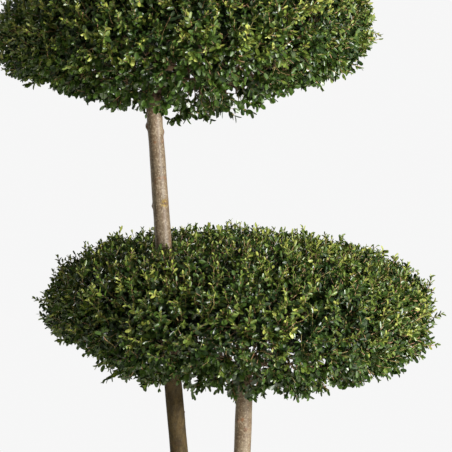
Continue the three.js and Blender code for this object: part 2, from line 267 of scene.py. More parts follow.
# %% Cut the skin at the ground
cut = bmesh.new()
cut.from_mesh(bark.data)
everything = list(cut.verts) + list(cut.edges) + list(cut.faces)
bmesh.ops.bisect_plane(cut, geom=everything, plane_co=(0, 0, 0), plane_no=(0, 0, 1), clear_inner=True)
rim = [edge for edge in cut.edges if edge.is_boundary]
bmesh.ops.edgeloop_fill(cut, edges=rim)
bmesh.ops.recalc_face_normals(cut, faces=cut.faces)
cut.to_mesh(bark.data)
cut.free()
print("bark skin", len(bark.data.vertices), "corners")

# %% [markdown]
# ### Relief of the bark
#
# Young privet bark is not rough, but it is never a perfect tube either. It has slow swellings, shallow
# lengthwise furrows, wrinkles round old growth rings and a scatter of raised pores. A displacement texture
# could do it. Moving each corner along its own normal by a sum of noises gives the same result in a few
# lines, and the foot can be left alone so that it stays flat.

# %% Carve the relief
from mathutils import noise

SWELLING = {"per_metre": 16, "height": 0.0007}
FURROW = {"per_metre": 90, "stretch": 0.22, "height": 0.00035}
WRINKLE = {"patches": 26, "across": 4, "along": 104, "height": 0.0004}
PORE = {"per_metre": 120, "size": 0.35, "height": 0.0004}
KNOB_COLLAR = 0.5
FLAT_FOOT = 0.006

corners = np.zeros(len(bark.data.vertices) * 3)
normals = np.zeros(len(bark.data.vertices) * 3)
bark.data.vertices.foreach_get("co", corners)
bark.data.vertices.foreach_get("normal", normals)
corners = corners.reshape(-1, 3)
normals = normals.reshape(-1, 3)
rise = np.zeros(len(corners))
for index, (x, y, z) in enumerate(corners):
    place = Vector((x, y, z))
    swelling = noise.noise(place * SWELLING["per_metre"])
    furrow = noise.noise(Vector((x, y, z * FURROW["stretch"])) * FURROW["per_metre"])
    ring = noise.noise(Vector((x * WRINKLE["across"], y * WRINKLE["across"], z * WRINKLE["along"])))
    patch = max(noise.noise(place * WRINKLE["patches"]), 0)
    nearest_pore = noise.voronoi(place * PORE["per_metre"])[0][0]
    rise[index] = (
        SWELLING["height"] * swelling
        + FURROW["height"] * furrow
        + WRINKLE["height"] * ring * patch
        + PORE["height"] * max(PORE["size"] - nearest_pore, 0)
    )
for knob in KNOBS:
    gap = np.linalg.norm((corners - np.array(knob["place"])) / (1, 1, KNOB_STRETCH), axis=1)
    rise += KNOB_COLLAR * knob["radius"] * np.exp(-((gap / knob["radius"]) ** 2))
rise *= np.clip(corners[:, 2] / FLAT_FOOT, 0, 1)
corners += normals * rise[:, None]
bark.data.vertices.foreach_set("co", corners.ravel())
bark.data.update()
bark.data.shade_smooth()
print("relief from", round(rise.min() * 1000, 2), "to", round(rise.max() * 1000, 2), "mm")

# %% [markdown]
# ## The clipped surface
#
# Shears leave a cushion that is round from above and flattened from the side, with a fuller shoulder than an
# ellipse has. There are shallow lobes where the cut wandered, dents where it went deeper and swellings where
# it stopped short. Sculpting it would be one way. A formula is better here, because thousands of shoot tips
# have to be spread evenly over that surface: equal areas from bottom to top, each spot turned by the golden
# angle from the one before, as seeds sit in a sunflower.

# %% Size, place and dents of the lower cushion
HALF_HEIGHT = 0.192
RIGHT = 0
LEFT = math.pi
FRONT = -math.pi / 2
STRAIGHT_DOWN = -math.pi / 2
DENT = ("azimuth", "latitude", "width", "rise")
# A sprig is a young shoot listed one by one, where one plainly stands out of the clipped outline.
SPRIG = ("azimuth", "latitude", "reach")
LOWER = {
    "name": "lower",
    "node": "lower_cushion",
    "middle": (0.046, 0, 1.039),
    "half_width": 0.436,
    "tilt": math.radians(2.3),
    "lump_phase": 5.75,
    "dents": table(
        DENT,
        (LEFT, -0.8, 0.5, -0.1),
        (LEFT, 0.6, 0.4, -0.026),
        (RIGHT, -0.9, 0.35, -0.05),
        (RIGHT, 0, 0.35, 0.02),
        (LEFT, 0, 0.35, 0.02),
        (FRONT, -1.1, 0.4, -0.04),
        (LEFT, -0.33, 0.26, 0.055),
        (-1.88, -1.15, 0.22, 0.07),
        (RIGHT, -0.42, 0.2, 0.045),
    ),
    "sprigs": table(
        SPRIG,
        (0.05, 0.02, 0.006),
        (0.1, 0.36, 0.006),
        (-0.1, -0.2, 0.008),
        (3.1, 0.02, 0.008),
        (3.0, 0.43, 0.006),
        (-2.9, 0.72, 0.006),
    ),
    "shares_kept_below": {"mature": (0.08, 0.27), "young": (0.03, 0.12)},
    "underside_trim": 0,
    "liveliness": 0,
    "carrier": SHORT_STEM,
    "seed": 12,
}
print("lower cushion", 2 * LOWER["half_width"], "m wide and", 2 * HALF_HEIGHT, "m high")

# %% The same for the upper cushion
UPPER = {
    "name": "upper",
    "node": "upper_cushion",
    "middle": (-0.071, -0.050, 1.650),
    "half_width": 0.419,
    "tilt": math.radians(-2),
    "lump_phase": 2.9,
    "dents": table(
        DENT,
        (LEFT, -0.82, 0.28, -0.09),
        (LEFT, -1.1, 0.4, -0.05),
        (RIGHT, -0.85, 0.35, -0.05),
        (RIGHT, STRAIGHT_DOWN, 0.25, 0.075),
        (LEFT, -0.42, 0.22, 0.05),
        (RIGHT, -0.68, 0.17, 0.05),
    ),
    "sprigs": table(SPRIG, (0.05, 0.3, 0.004), (-0.1, -0.1, 0.006)),
    "shares_kept_below": {"mature": (0.17, 0.35), "young": (0.05, 0.18)},
    "underside_trim": 0.008,
    # Paler tints on the upper cushion: partly for its more young growth, partly painted light that brightens
    # the whole cushion.
    "liveliness": 0.1,
    "carrier": TALL_STEM,
    "seed": 27,
}
CUSHIONS = (LOWER, UPPER)
print("upper cushion", 2 * UPPER["half_width"], "m wide and", 2 * HALF_HEIGHT, "m high")

# %% The uneven cut
LUMP_SHARE = 0.021
FIVE_LOBES = 0.7
SLANTING_LOBES = 0.5


def direction_at(latitude, azimuth):
    """The direction from a cushion's middle to a latitude and an azimuth."""
    level = np.cos(latitude)
    return np.stack([level * np.cos(azimuth), level * np.sin(azimuth), np.sin(latitude)], -1)


def lump(cushion, latitude, azimuth):
    """The uneven surface of a cushion, as a share of its size. A swelling is a dent that rises."""
    phase = cushion["lump_phase"]
    wave = (
        np.sin(3 * azimuth + phase) * np.cos(2 * latitude + phase)
        + FIVE_LOBES * np.sin(5 * azimuth - 2 * phase)
        + SLANTING_LOBES * np.sin(4 * latitude + 2 * azimuth + phase)
    )
    swell = 1 + LUMP_SHARE * wave
    for dent in cushion["dents"]:
        facing = direction_at(latitude, azimuth) @ direction_at(dent["latitude"], dent["azimuth"])
        away = np.arccos(facing.clip(-1, 1)) / dent["width"]
        swell = swell + dent["rise"] * np.exp(-(away**2))
    return swell


round_the_rim = np.linspace(0, 2 * math.pi, 73)
for cushion in CUSHIONS:
    swells = lump(cushion, np.zeros_like(round_the_rim), round_the_rim)
    print(cushion["name"], "rim, as a share of its size", swells.min().round(3), "to", swells.max().round(3))

# %% Points on the clipped surface
PROFILE_POWER = 2.4
SHORTEST = 1e-9


def unit(vectors):
    """Vectors brought to length one."""
    return vectors / np.maximum(np.linalg.norm(vectors, axis=-1, keepdims=True), SHORTEST)


def tilted(vectors, tilt):
    """Vectors turned about Y."""
    x, y, z = np.moveaxis(vectors, -1, 0)
    cos, sin = math.cos(tilt), math.sin(tilt)
    return np.stack([x * cos + z * sin, y, z * cos - x * sin], -1)


def cushion_spot(cushion, latitude, azimuth, depth):
    """Points below the clipped surface by a depth, with the directions that face outwards there."""
    swell = lump(cushion, latitude, azimuth)
    flat = np.cos(latitude).clip(0) ** (2 / PROFILE_POWER)
    tall = np.sign(latitude) * np.abs(np.sin(latitude)) ** (2 / PROFILE_POWER)
    out_flat = flat ** (PROFILE_POWER - 1) / cushion["half_width"]
    out_tall = np.sign(tall) * np.abs(tall) ** (PROFILE_POWER - 1) / HALF_HEIGHT
    outward = unit(np.stack([out_flat * np.cos(azimuth), out_flat * np.sin(azimuth), out_tall], -1))
    reach = cushion["half_width"] * swell * flat
    point = np.stack([reach * np.cos(azimuth), reach * np.sin(azimuth), HALF_HEIGHT * swell * tall], -1)
    point = point - outward * np.asarray(depth)[..., None]
    return tilted(point, cushion["tilt"]) + cushion["middle"], tilted(outward, cushion["tilt"])


for cushion in CUSHIONS:
    rim = cushion_spot(cushion, np.zeros(4), np.arange(4) * math.pi / 2, np.zeros(4))[0]
    print(cushion["name"], "rim", rim.round(3).tolist())

# %% Spots that lie evenly over it
GOLDEN_ANGLE = math.pi * (3 - math.sqrt(5))
PROFILE_STEPS = 241


def even_spots(cushion, count):
    """Latitudes and azimuths of spots that lie evenly over the cushion."""
    level = {**cushion, "middle": (0, 0, 0), "tilt": 0}
    steps = np.linspace(-math.pi / 2, math.pi / 2, PROFILE_STEPS)
    rings = cushion_spot(level, steps, np.zeros_like(steps), np.zeros_like(steps))[0]
    widths = (rings[1:, 0] + rings[:-1, 0]) / 2
    areas = np.concatenate([[0], np.cumsum(widths * np.linalg.norm(np.diff(rings, axis=0), axis=1))])
    shares = (np.arange(count) + 0.5) / count * areas[-1]
    return np.interp(shares, areas, steps), np.arange(count) * GOLDEN_ANGLE


def scattered_spots(cushion, count, scatter, chance):
    """Even spots, each moved a little by chance in its latitude and its azimuth."""
    latitude, azimuth = even_spots(cushion, count)
    latitude = latitude + chance.normal(0, scatter[0], count)
    azimuth = azimuth + chance.normal(0, scatter[1], count)
    return latitude, azimuth


print("latitudes of seven even spots", even_spots(LOWER, 7)[0].round(2).tolist())

# %% [markdown]
# ## Limbs
#
# Inside a cushion the stem forks into a handful of boughs. Boughs carry branches, branches carry twigs, and
# each twig carries a spray of shoots that end at the clipped surface. Shoots further in fill the shade
# behind them. Every limb starts at the nearest place on the order of limbs before it and bends outwards to
# its own spot. Thousands of curve objects would be slow, so all the limbs of one order are worked out
# together as arrays and joined into one mesh.

# %% Bent lines and the tubes round them
UP = np.array([0, 0, 1.0])
ALONG_X = np.array([1.0, 0, 0])


def bent_lines(starts, bends, ends, steps):
    """Lines from starts to ends that lean towards the bends, each with the same number of steps."""
    t = np.linspace(0, 1, steps + 1)[None, :, None]
    return (1 - t) ** 2 * starts[:, None] + 2 * t * (1 - t) * bends[:, None] + t**2 * ends[:, None]


def well_off(directions, steepest):
    """A reference that is well off each direction: up, or along X where the direction itself is steep."""
    return np.where(np.abs(directions[:, 2:]) < steepest, UP, ALONG_X)


def tubes(lines, radii, sides):
    """Corners and faces of closed tubes round many lines. Radii taper from the first value to the last."""
    count, rings, _ = lines.shape
    along = unit(np.gradient(lines, axis=1))
    chord = unit(lines[:, -1] - lines[:, 0])
    side = unit(np.cross(well_off(chord, steepest=0.8)[:, None], along))
    across = np.cross(along, side)
    angles = np.arange(sides) / sides * 2 * math.pi
    radius = np.interp(np.linspace(0, 1, rings), np.linspace(0, 1, len(radii)), radii)
    circle = np.cos(angles)[:, None] * side[:, :, None] + np.sin(angles)[:, None] * across[:, :, None]
    corners = lines[:, :, None] + circle * radius[None, :, None, None]
    number = np.arange(count * rings * sides).reshape(count, rings, sides)
    turned = np.roll(number, -1, axis=2)
    walls = np.stack([number[:, :-1], turned[:, :-1], turned[:, 1:], number[:, 1:]], -1).reshape(-1, 4)
    caps = np.concatenate([number[:, 0, ::-1], number[:, -1]])
    return corners.reshape(-1, 3), [walls, caps]


trial_line = bent_lines(np.zeros((1, 3)), np.array([[0, 0, 0.5]]), np.array([[0.1, 0, 1]]), 4)
trial_corners, trial_faces = tubes(trial_line, (0.01, 0.005), 5)
print("a tube of four steps and five sides", len(trial_corners), "corners", len(trial_faces[0]), "walls")

# %% Fork each stem into boughs
FORK_SHARE = 0.35
STEM_BEFORE_TIP = 0.985
BOUGHS = {"count": 7, "latitude_share": 0.4, "tip_depth": 0.132, "steps": 8}
BOUGH_LEAD_SHARE = 0.45
BOUGH_ARCH = 0.025
limbs = {}
for cushion in CUSHIONS:
    tip = stem_line(cushion["carrier"], 1)
    before_tip = stem_line(cushion["carrier"], STEM_BEFORE_TIP)
    middle = np.array(cushion["middle"])
    fork = middle + (tip - middle) * FORK_SHARE
    inner_stem = np.stack([before_tip[0], tip[0], tip[0] + (fork[0] - tip[0]) * 0.5, fork[0]])[None]
    latitude, azimuth = even_spots(cushion, BOUGHS["count"])
    depth = np.full(BOUGHS["count"], BOUGHS["tip_depth"])
    ends = cushion_spot(cushion, latitude * BOUGHS["latitude_share"], azimuth, depth)[0]
    forks = np.repeat(fork, BOUGHS["count"], axis=0)
    bends = forks + (ends - forks) * BOUGH_LEAD_SHARE + UP * BOUGH_ARCH
    boughs = bent_lines(forks, bends, ends, BOUGHS["steps"])
    limbs[cushion["name"]] = {"inner_stem": inner_stem, "boughs": boughs}
    print(cushion["name"], len(boughs), "boughs fork at", fork[0].round(3).tolist())

# %% Branches on the boughs and twigs on the branches
from mathutils import kdtree

BRANCHES, TWIGS = table(
    ("count", "tip_depth", "depth_scatter", "lead", "steps"),
    (74, 0.07, 0.006, 0.05, 7),
    (700, 0.052, 0.008, 0.03, 5),
)
TWIG_SCATTER = (0.03, 0.04)
FIRST_STEP = 2


def nearest_places(lines, first_step, targets):
    """For each target, the nearest of the places on some lines from a step on, and which line it is on."""
    places = lines[:, first_step:].reshape(-1, 3)
    tree = kdtree.KDTree(len(places))
    for index, place in enumerate(places):
        tree.insert(place, index)
    tree.balance()
    found = np.array([tree.find(target)[1] for target in targets])
    return places[found], found // (lines.shape[1] - first_step)


def grow_order(order, cushion, latitude, azimuth, lines_before, chance):
    """Limbs of one order, from the limbs before them to their own spots below the clipped surface."""
    depth = chance.normal(order["tip_depth"], order["depth_scatter"], order["count"])
    ends, outward = cushion_spot(cushion, latitude, azimuth, depth)
    starts, _ = nearest_places(lines_before, FIRST_STEP, ends)
    return bent_lines(starts, ends - outward * order["lead"], ends, order["steps"])


limb_chance = {cushion["name"]: np.random.default_rng(cushion["seed"]) for cushion in CUSHIONS}
for cushion in CUSHIONS:
    orders = limbs[cushion["name"]]
    chance = limb_chance[cushion["name"]]
    spots = even_spots(cushion, BRANCHES["count"])
    orders["branches"] = grow_order(BRANCHES, cushion, *spots, orders["boughs"], chance)
    spots = scattered_spots(cushion, TWIGS["count"], TWIG_SCATTER, chance)
    orders["twigs"] = grow_order(TWIGS, cushion, *spots, orders["branches"], chance)
    print(cushion["name"], {order: len(lines) for order, lines in orders.items()})

# %% Room for the stems
LIMB_MARGIN = 0.004
TWIG_ELBOW = 3
STEM_SAMPLES = 120
FAR_OFF = 1.0


def gap_to_stem(points, stem):
    """How far points are from the bark of a stem, measured level. Above the tip it is always far."""
    line = stem_line(stem, np.linspace(0, 1, STEM_SAMPLES))
    axis = np.stack([np.interp(points[:, 2], line[:, 2], line[:, side]) for side in (0, 1)], -1)
    gap = np.linalg.norm(points[:, :2] - axis, axis=1) - stem_radius(stem, points[:, 2])
    return np.where(points[:, 2] < line[-1, 2], gap, FAR_OFF)


def clear_of_stems(points, margin):
    """Which points keep a margin from the bark of both stems."""
    return np.minimum(gap_to_stem(points, TALL_STEM), gap_to_stem(points, SHORT_STEM)) > margin


for name, orders in limbs.items():
    clear_branch = clear_of_stems(orders["branches"][:, -1], LIMB_MARGIN)
    clear_twig = clear_of_stems(orders["twigs"][:, -1], LIMB_MARGIN)
    clear_twig &= clear_of_stems(orders["twigs"][:, TWIG_ELBOW], LIMB_MARGIN)
    orders["clear_branches"] = orders["branches"][clear_branch]
    orders["clear_twigs"] = orders["twigs"][clear_twig]
    print(name, "clear of the stems", clear_branch.sum(), "branches", clear_twig.sum(), "twigs")

# %% Where the shoots at the surface end
MATURE, YOUNG = table(
    ("count", "tip_depth", "depth_scatter", "lift", "direction_scatter", "longest_tip"),
    (3800, 0.0078, 0.012, 0.5, 0.52, 0),
    (1600, 0.001, 0.01, 0.65, 0.6, 0.016),
)
SHOOT_SCATTER = (0.022, 0.03)
# Below the last of these latitudes shoots are thinned, down to the shares that the cushion keeps.
THINNING_LATITUDES = (-1.25, -0.95, -0.3)
# How deep the shears cut, by how far up the surface faces, from -1 to 1.
TRIM_BY_OUTWARD = (-1, -0.93, -0.8, 0, 1), (-0.004, 0.011, 0.015, 0.009, 0.011)
TUFTS = {"per_metre": 22, "height": 0.012, "more_below": 0.014}
# The foliage draws back where the tall stem passes through it.
DIMPLE = {"depth": 0.036, "width": 0.036}
LONG_TIP_RARITY = 5


def shoot_spots(cushion, kind, shares_kept, sprigs, chance):
    """Where shoots end, fewer of them below. The listed sprigs are the last ones."""
    count = kind["count"]
    latitude, azimuth = scattered_spots(cushion, count, SHOOT_SCATTER, chance)
    kept = chance.random(count) < np.interp(latitude, THINNING_LATITUDES, (*shares_kept, 1))
    latitude = np.concatenate([latitude[kept], [sprig["latitude"] for sprig in sprigs]])
    azimuth = np.concatenate([azimuth[kept], [sprig["azimuth"] for sprig in sprigs]])
    return latitude, azimuth


def shoot_depths(cushion, kind, surface, outward, sprigs, chance):
    """How deep below the clipped surface each shoot ends. What stands out of it has a depth below nought."""
    count = len(surface)
    facing_down = (-outward[:, 2]).clip(0)
    tufts = np.array([noise.noise(Vector(point * TUFTS["per_metre"])) for point in surface])
    tuft_height = TUFTS["height"] + TUFTS["more_below"] * facing_down
    trim = np.interp(outward[:, 2], *TRIM_BY_OUTWARD) + cushion["underside_trim"] * facing_down
    depth = trim + kind["tip_depth"] - tuft_height * tufts
    depth = depth + np.abs(chance.normal(0, kind["depth_scatter"], count))
    depth = depth - kind["longest_tip"] * chance.random(count) ** LONG_TIP_RARITY
    depth = depth + DIMPLE["depth"] * np.exp(-((gap_to_stem(surface, TALL_STEM) / DIMPLE["width"]) ** 2))
    for index, sprig in enumerate(reversed(sprigs)):
        depth[-1 - index] = -sprig["reach"]
    return depth


print("shoots before thinning", MATURE["count"], "mature", YOUNG["count"], "young")

# %% Grow the shoots at the surface
SHOOT_LEAD = 0.034
SHOOT_STEPS = 3
# A shoot looks for its twig from a little way back, and the tips of a spray gather towards their twig.
LOOK_BACK = 0.03
GATHER = 0.1
# Shoots on the underside turn outwards and up to the light.
SIDEWAYS_BELOW = 0.9
LIFT_BELOW = 0.35
LIFT_FADE = 1.3
LEAST_LIFT = 0.1


def grow_shoots(cushion, kind, shares_kept, sprigs, chance):
    """The shoots of one kind that end at the clipped surface, with the twig and the outward of each."""
    twigs = limbs[cushion["name"]]["twigs"]
    latitude, azimuth = shoot_spots(cushion, kind, shares_kept, sprigs, chance)
    surface, outward = cushion_spot(cushion, latitude, azimuth, np.zeros(len(latitude)))
    depth = shoot_depths(cushion, kind, surface, outward, sprigs, chance)
    below = (-outward[:, 2:]).clip(0)
    lift = kind["lift"] * (1 + LIFT_FADE * outward[:, 2:]).clip(LEAST_LIFT, 1) + LIFT_BELOW * below
    sideways = unit((surface - cushion["middle"]) * (1, 1, 0)) * SIDEWAYS_BELOW * below
    wander = chance.normal(0, kind["direction_scatter"], surface.shape)
    direction = unit(outward + UP * lift + sideways + wander)
    ends = surface - outward * depth[:, None]
    starts, twig_of_shoot = nearest_places(twigs, FIRST_STEP, ends - direction * LOOK_BACK)
    towards = twigs[twig_of_shoot, -1] - ends
    ends = ends + GATHER * (towards - outward * (towards * outward).sum(1, keepdims=True))
    bends = ends - direction * SHOOT_LEAD
    keep = clear_of_stems(ends, LIMB_MARGIN) & clear_of_stems(bends, LIMB_MARGIN)
    lines = bent_lines(starts, bends, ends, SHOOT_STEPS)
    return {"lines": lines[keep], "twig": twig_of_shoot[keep], "outward": outward[keep]}


shoots = {}
for cushion in CUSHIONS:
    chance = limb_chance[cushion["name"]]
    kept = cushion["shares_kept_below"]
    mature = grow_shoots(cushion, MATURE, kept["mature"], [], chance)
    young = grow_shoots(cushion, YOUNG, kept["young"], cushion["sprigs"], chance)
    shoots[cushion["name"]] = {"mature": mature, "young": young}
    print(cushion["name"], len(mature["lines"]), "mature and", len(young["lines"]), "young shoots")

# %% Shoots inside the cushions
INNER = {"count": 1450, "depths": (0.042, 0.11), "deeper_above": 0.03, "deeper_below": 0.095, "steps": 2}
INNER_SCATTER = {"latitude": 0.1, "direction": 0.5}
INNER_MARGIN = 0.012
INNER_FIRST_STEP = 1
for cushion in CUSHIONS:
    orders = limbs[cushion["name"]]
    chance = limb_chance[cushion["name"]]
    latitude, azimuth = even_spots(cushion, INNER["count"])
    latitude = latitude + chance.normal(0, INNER_SCATTER["latitude"], INNER["count"])
    height = np.sin(latitude)
    deeper = INNER["deeper_above"] * height.clip(0) + INNER["deeper_below"] * (-height).clip(0)
    depth = chance.uniform(*INNER["depths"], INNER["count"]) + deeper
    ends, outward = cushion_spot(cushion, latitude, azimuth, depth)
    direction = unit(outward + chance.normal(0, INNER_SCATTER["direction"], ends.shape))
    starts, _ = nearest_places(orders["branches"], INNER_FIRST_STEP, ends - direction * LOOK_BACK)
    lines = bent_lines(starts, ends - direction * SHOOT_LEAD, ends, INNER["steps"])
    orders["inner_shoots"] = lines[clear_of_stems(ends, INNER_MARGIN)]
    print(cushion["name"], len(orders["inner_shoots"]), "inner shoots")

# %% Join the limbs and shoots of each cushion
LIMB_RADII = {"boughs": (0.0068, 0.0036), "clear_branches": (0.0032, 0.0017), "clear_twigs": (0.0016, 0.001)}
LIMB_SIDES = {"boughs": 8, "clear_branches": 5, "clear_twigs": 4}
SHOOT_RADII = {"mature": (0.0011, 0.0006), "young": (0.0012, 0.0007)}
SHOOT_SIDES = 3
INNER_STEM_SIDES = 20
INNER_STEM_TUCK = 0.0003
INNER_STEM_TAPER = (0.85, 0.6)


def joined_mesh(name, parts):
    """One object from several lots of corners and faces."""
    corners = []
    lots = []
    first = 0
    for some_corners, some_faces in parts:
        corners.append(some_corners)
        lots.extend(faces + first for faces in some_faces)
        first += len(some_corners)
    mesh = bpy.data.meshes.new(name)
    mesh.vertices.add(first)
    mesh.vertices.foreach_set("co", np.concatenate(corners).astype(np.float32).ravel())
    loops = np.concatenate([faces.ravel() for faces in lots])
    sizes = np.concatenate([np.full(len(faces), faces.shape[1]) for faces in lots])
    mesh.loops.add(len(loops))
    mesh.loops.foreach_set("vertex_index", loops.astype(np.int32))
    mesh.polygons.add(len(sizes))
    mesh.polygons.foreach_set("loop_start", np.concatenate([[0], np.cumsum(sizes)[:-1]]).astype(np.int32))
    mesh.update(calc_edges=True)
    mesh.shade_smooth()
    piece = bpy.data.objects.new(name, mesh)
    scene.collection.objects.link(piece)
    print(name, int((sizes - 2).sum()), "triangles")
    return piece


limb_pieces = []
shoot_pieces = []
for cushion in CUSHIONS:
    name = cushion["name"]
    orders = limbs[name]
    tip_radius = stem_radius(cushion["carrier"], cushion["carrier"]["points"][-1][2])
    tucked = (tip_radius - INNER_STEM_TUCK, tip_radius - 2 * INNER_STEM_TUCK)
    inner_radii = (*tucked, *(tip_radius * share for share in INNER_STEM_TAPER))
    wood = [tubes(orders["inner_stem"], inner_radii, INNER_STEM_SIDES)]
    wood += [tubes(orders[order], radii, LIMB_SIDES[order]) for order, radii in LIMB_RADII.items()]
    limb_pieces.append(joined_mesh(name + "_boughs", wood))
    green = [tubes(shoots[name][kind]["lines"], radii, SHOOT_SIDES) for kind, radii in SHOOT_RADII.items()]
    green.append(tubes(orders["inner_shoots"], SHOOT_RADII["mature"], SHOOT_SIDES))
    shoot_pieces.append(joined_mesh(name + "_shoots", green))

# %% [markdown]
# ## Leaves
#
# A privet leaf is a small thick oval, 12 to 22 mm long, folded a little along its midrib, with its tip
# turned down. The leaves stand in pairs, and each pair is turned a quarter from the one before, so a shoot
# seen from its tip is a small star. One leaf is modelled with a bmesh disc. All the others are copies of
# its nine corners, placed by array maths, because tens of thousands of objects would stop the export.

# %% Model one leaf
LEAF_FOLD = 0.13
LEAF_DROOP = 0.1
LEAF_FULLNESS = 0.2
leaf_shape = bmesh.new()
bmesh.ops.create_circle(leaf_shape, cap_ends=True, cap_tris=True, segments=8, radius=1)
for corner in leaf_shape.verts:
    across, along, _ = corner.co
    reach = (1 + along) / 2
    half = across * (1 + LEAF_FULLNESS * along**2) / 2
    corner.co = (reach, half, LEAF_FOLD * abs(across) - LEAF_DROOP * reach**2)
leaf_shape.verts.ensure_lookup_table()
leaf_corners = np.array([corner.co for corner in leaf_shape.verts])
leaf_faces = np.array([[corner.index for corner in face.verts] for face in leaf_shape.faces])
leaf_shape.free()
print("leaf", len(leaf_corners), "corners", len(leaf_faces), "triangles")

# %% How the leaves of each kind of shoot grow
# The inner leaves are larger than life, so that fewer of them fill the shade.
MATURE_LEAVES, YOUNG_LEAVES, INNER_LEAVES = table(
    ("nodes", "spacing", "length", "open", "length_by_age", "width_by_age", "score"),
    (5, 0.0078, 0.0164, (0.6, 1.25), (0.72, 1), (0.42, 0.54), 0.04),
    (6, 0.0072, 0.015, (0.36, 1.05), (0.68, 1.05), (0.35, 0.46), 0.39),
    (3, 0.013, 0.023, (0.6, 1.2), (0.8, 1), (0.42, 0.48), -0.3),
)
# Leaves on the underside are larger and wider spaced than those that face the light.
LENGTH_BY_OUTWARD = (-1, -0.3, 1), (1.28, 1.02, 0.97)
WIDTH_BY_OUTWARD = (-1, -0.3), (1.36, 1.08)
SPACING_BY_OUTWARD = (-1, -0.3), (1.5, 1)
for kind, leaves in (("mature", MATURE_LEAVES), ("young", YOUNG_LEAVES), ("inner", INNER_LEAVES)):
    print(kind, "shoots bear up to", 2 * leaves["nodes"], "leaves of", leaves["length"], "m")


# %% Walk along the shoots and turn about them
def line_lengths(lines):
    """How long each line is."""
    return np.linalg.norm(np.diff(lines, axis=1), axis=-1).sum(1)


def walk_back(lines, back):
    """The place on each line a share of its length back from the tip, and the way the line grows there."""
    along = np.clip(1 - back, 0, 1) * (lines.shape[1] - 1)
    low = np.minimum(along.astype(int), lines.shape[1] - 2)
    rows = np.arange(len(lines))
    before, after = lines[rows, low], lines[rows, low + 1]
    return before + (after - before) * (along - low)[:, None], unit(after - before)


def turned_about(vectors, axes, angles):
    """Vectors turned about axes of length one."""
    cos, sin = np.cos(angles)[..., None], np.sin(angles)[..., None]
    dot = (vectors * axes).sum(-1, keepdims=True)
    return vectors * cos + np.cross(axes, vectors) * sin + axes * dot * (1 - cos)


for name, kinds in shoots.items():
    lengths = {kind: line_lengths(found["lines"]).mean().round(3) for kind, found in kinds.items()}
    print(name, "shoots are", lengths, "m long")

# %% Score the leaves from old and dark to new and bright
SCORE = {"liveliness": 0.5, "youth": 0.2, "scatter": 0.14, "facing_up": 0.08}
MIDDLE_SCORE = 0.5
EVENNESS_BELOW = 0.8


def leaf_scores(kind, liveliness, age, outward, chance):
    """A score for each leaf of a pair's age. On the underside the scores draw nearer to the middle."""
    score = kind["score"] + SCORE["liveliness"] * liveliness + SCORE["youth"] * (1 - age)
    score = score + chance.normal(0, SCORE["scatter"], len(outward))
    score = score + SCORE["facing_up"] * outward[:, 2]
    return score + EVENNESS_BELOW * (-outward[:, 2]).clip(0) ** 2 * (MIDDLE_SCORE - score)


print("a shoot's newest leaves score", SCORE["youth"], "more than its oldest")

# %% Place a pair of leaves at each node of each shoot
FIRST_NODE = 0.0015
LAST_NODE_SHARE = 0.95
LEAVES_LEFT = 0.93
LEAF_SIZES = (0.84, 1.14)
SCATTER = {"shoot": 0.1, "node": 0.06, "turn": 0.22, "open": 0.16, "roll": 0.55, "width": 0.1, "curl": 0.6}
OPEN_POWER = 0.7
LENGTH_POWER = 0.6
HANG = 0.08
HANG_BELOW = 0.5
TIP_MARGIN = 0.002
ROOT_MARGIN = 0.001


def place_leaves(lines, kind, chance, outward, liveliness):
    """The root, direction, facing, size, width, score and curl of each leaf along some shoots."""
    count = len(lines)
    reach = line_lengths(lines)
    shoot_turn = chance.uniform(0, 2 * math.pi, count)
    shoot_size = chance.normal(1, SCATTER["shoot"], count) * np.interp(outward[:, 2], *LENGTH_BY_OUTWARD)
    spacing = kind["spacing"] * np.interp(outward[:, 2], *SPACING_BY_OUTWARD)
    hang = HANG + HANG_BELOW * (-outward[:, 2:]).clip(0)
    lots = []
    for node in range(kind["nodes"]):
        back = (FIRST_NODE + spacing * node * chance.normal(1, SCATTER["node"], count)) / reach
        place, axis = walk_back(lines, back)
        level = unit(np.cross(well_off(axis, steepest=0.9), axis))
        age = node / (kind["nodes"] - 1)
        opening = np.interp(age**OPEN_POWER, (0, 1), kind["open"])
        length = kind["length"] * np.interp(age**LENGTH_POWER, (0, 1), kind["length_by_age"])
        slimness = np.interp(age, (0, 1), kind["width_by_age"])
        exists = (back < LAST_NODE_SHARE) & (chance.random(count) < LEAVES_LEFT)
        for half_turn in (0, math.pi):
            turn = shoot_turn + node * math.pi / 2 + half_turn + chance.normal(0, SCATTER["turn"], count)
            out = turned_about(level, axis, turn)
            spread = opening + chance.normal(0, SCATTER["open"], count)[:, None]
            direction = unit(axis * np.cos(spread) + out * np.sin(spread) - UP * hang)
            facing = unit(axis * np.sin(spread) - out * np.cos(spread))
            facing = turned_about(facing, direction, chance.normal(0, SCATTER["roll"], count))
            size = length * shoot_size * chance.uniform(*LEAF_SIZES, count)
            width = slimness * chance.normal(1, SCATTER["width"], count)
            width = width * np.interp(outward[:, 2], *WIDTH_BY_OUTWARD)
            score = leaf_scores(kind, liveliness, age, outward, chance)
            tip = place + direction * size[:, None]
            kept = exists & clear_of_stems(tip, TIP_MARGIN) & clear_of_stems(place, ROOT_MARGIN)
            lots.append([lot[kept] for lot in (place, direction, facing, size, width, score)])
    placed = [np.concatenate(lot) for lot in zip(*lots)]
    return [*placed, chance.normal(1, SCATTER["curl"], len(placed[0]))]


print("leaves keep", ROOT_MARGIN, "m off the bark at their roots and", TIP_MARGIN, "m at their tips")

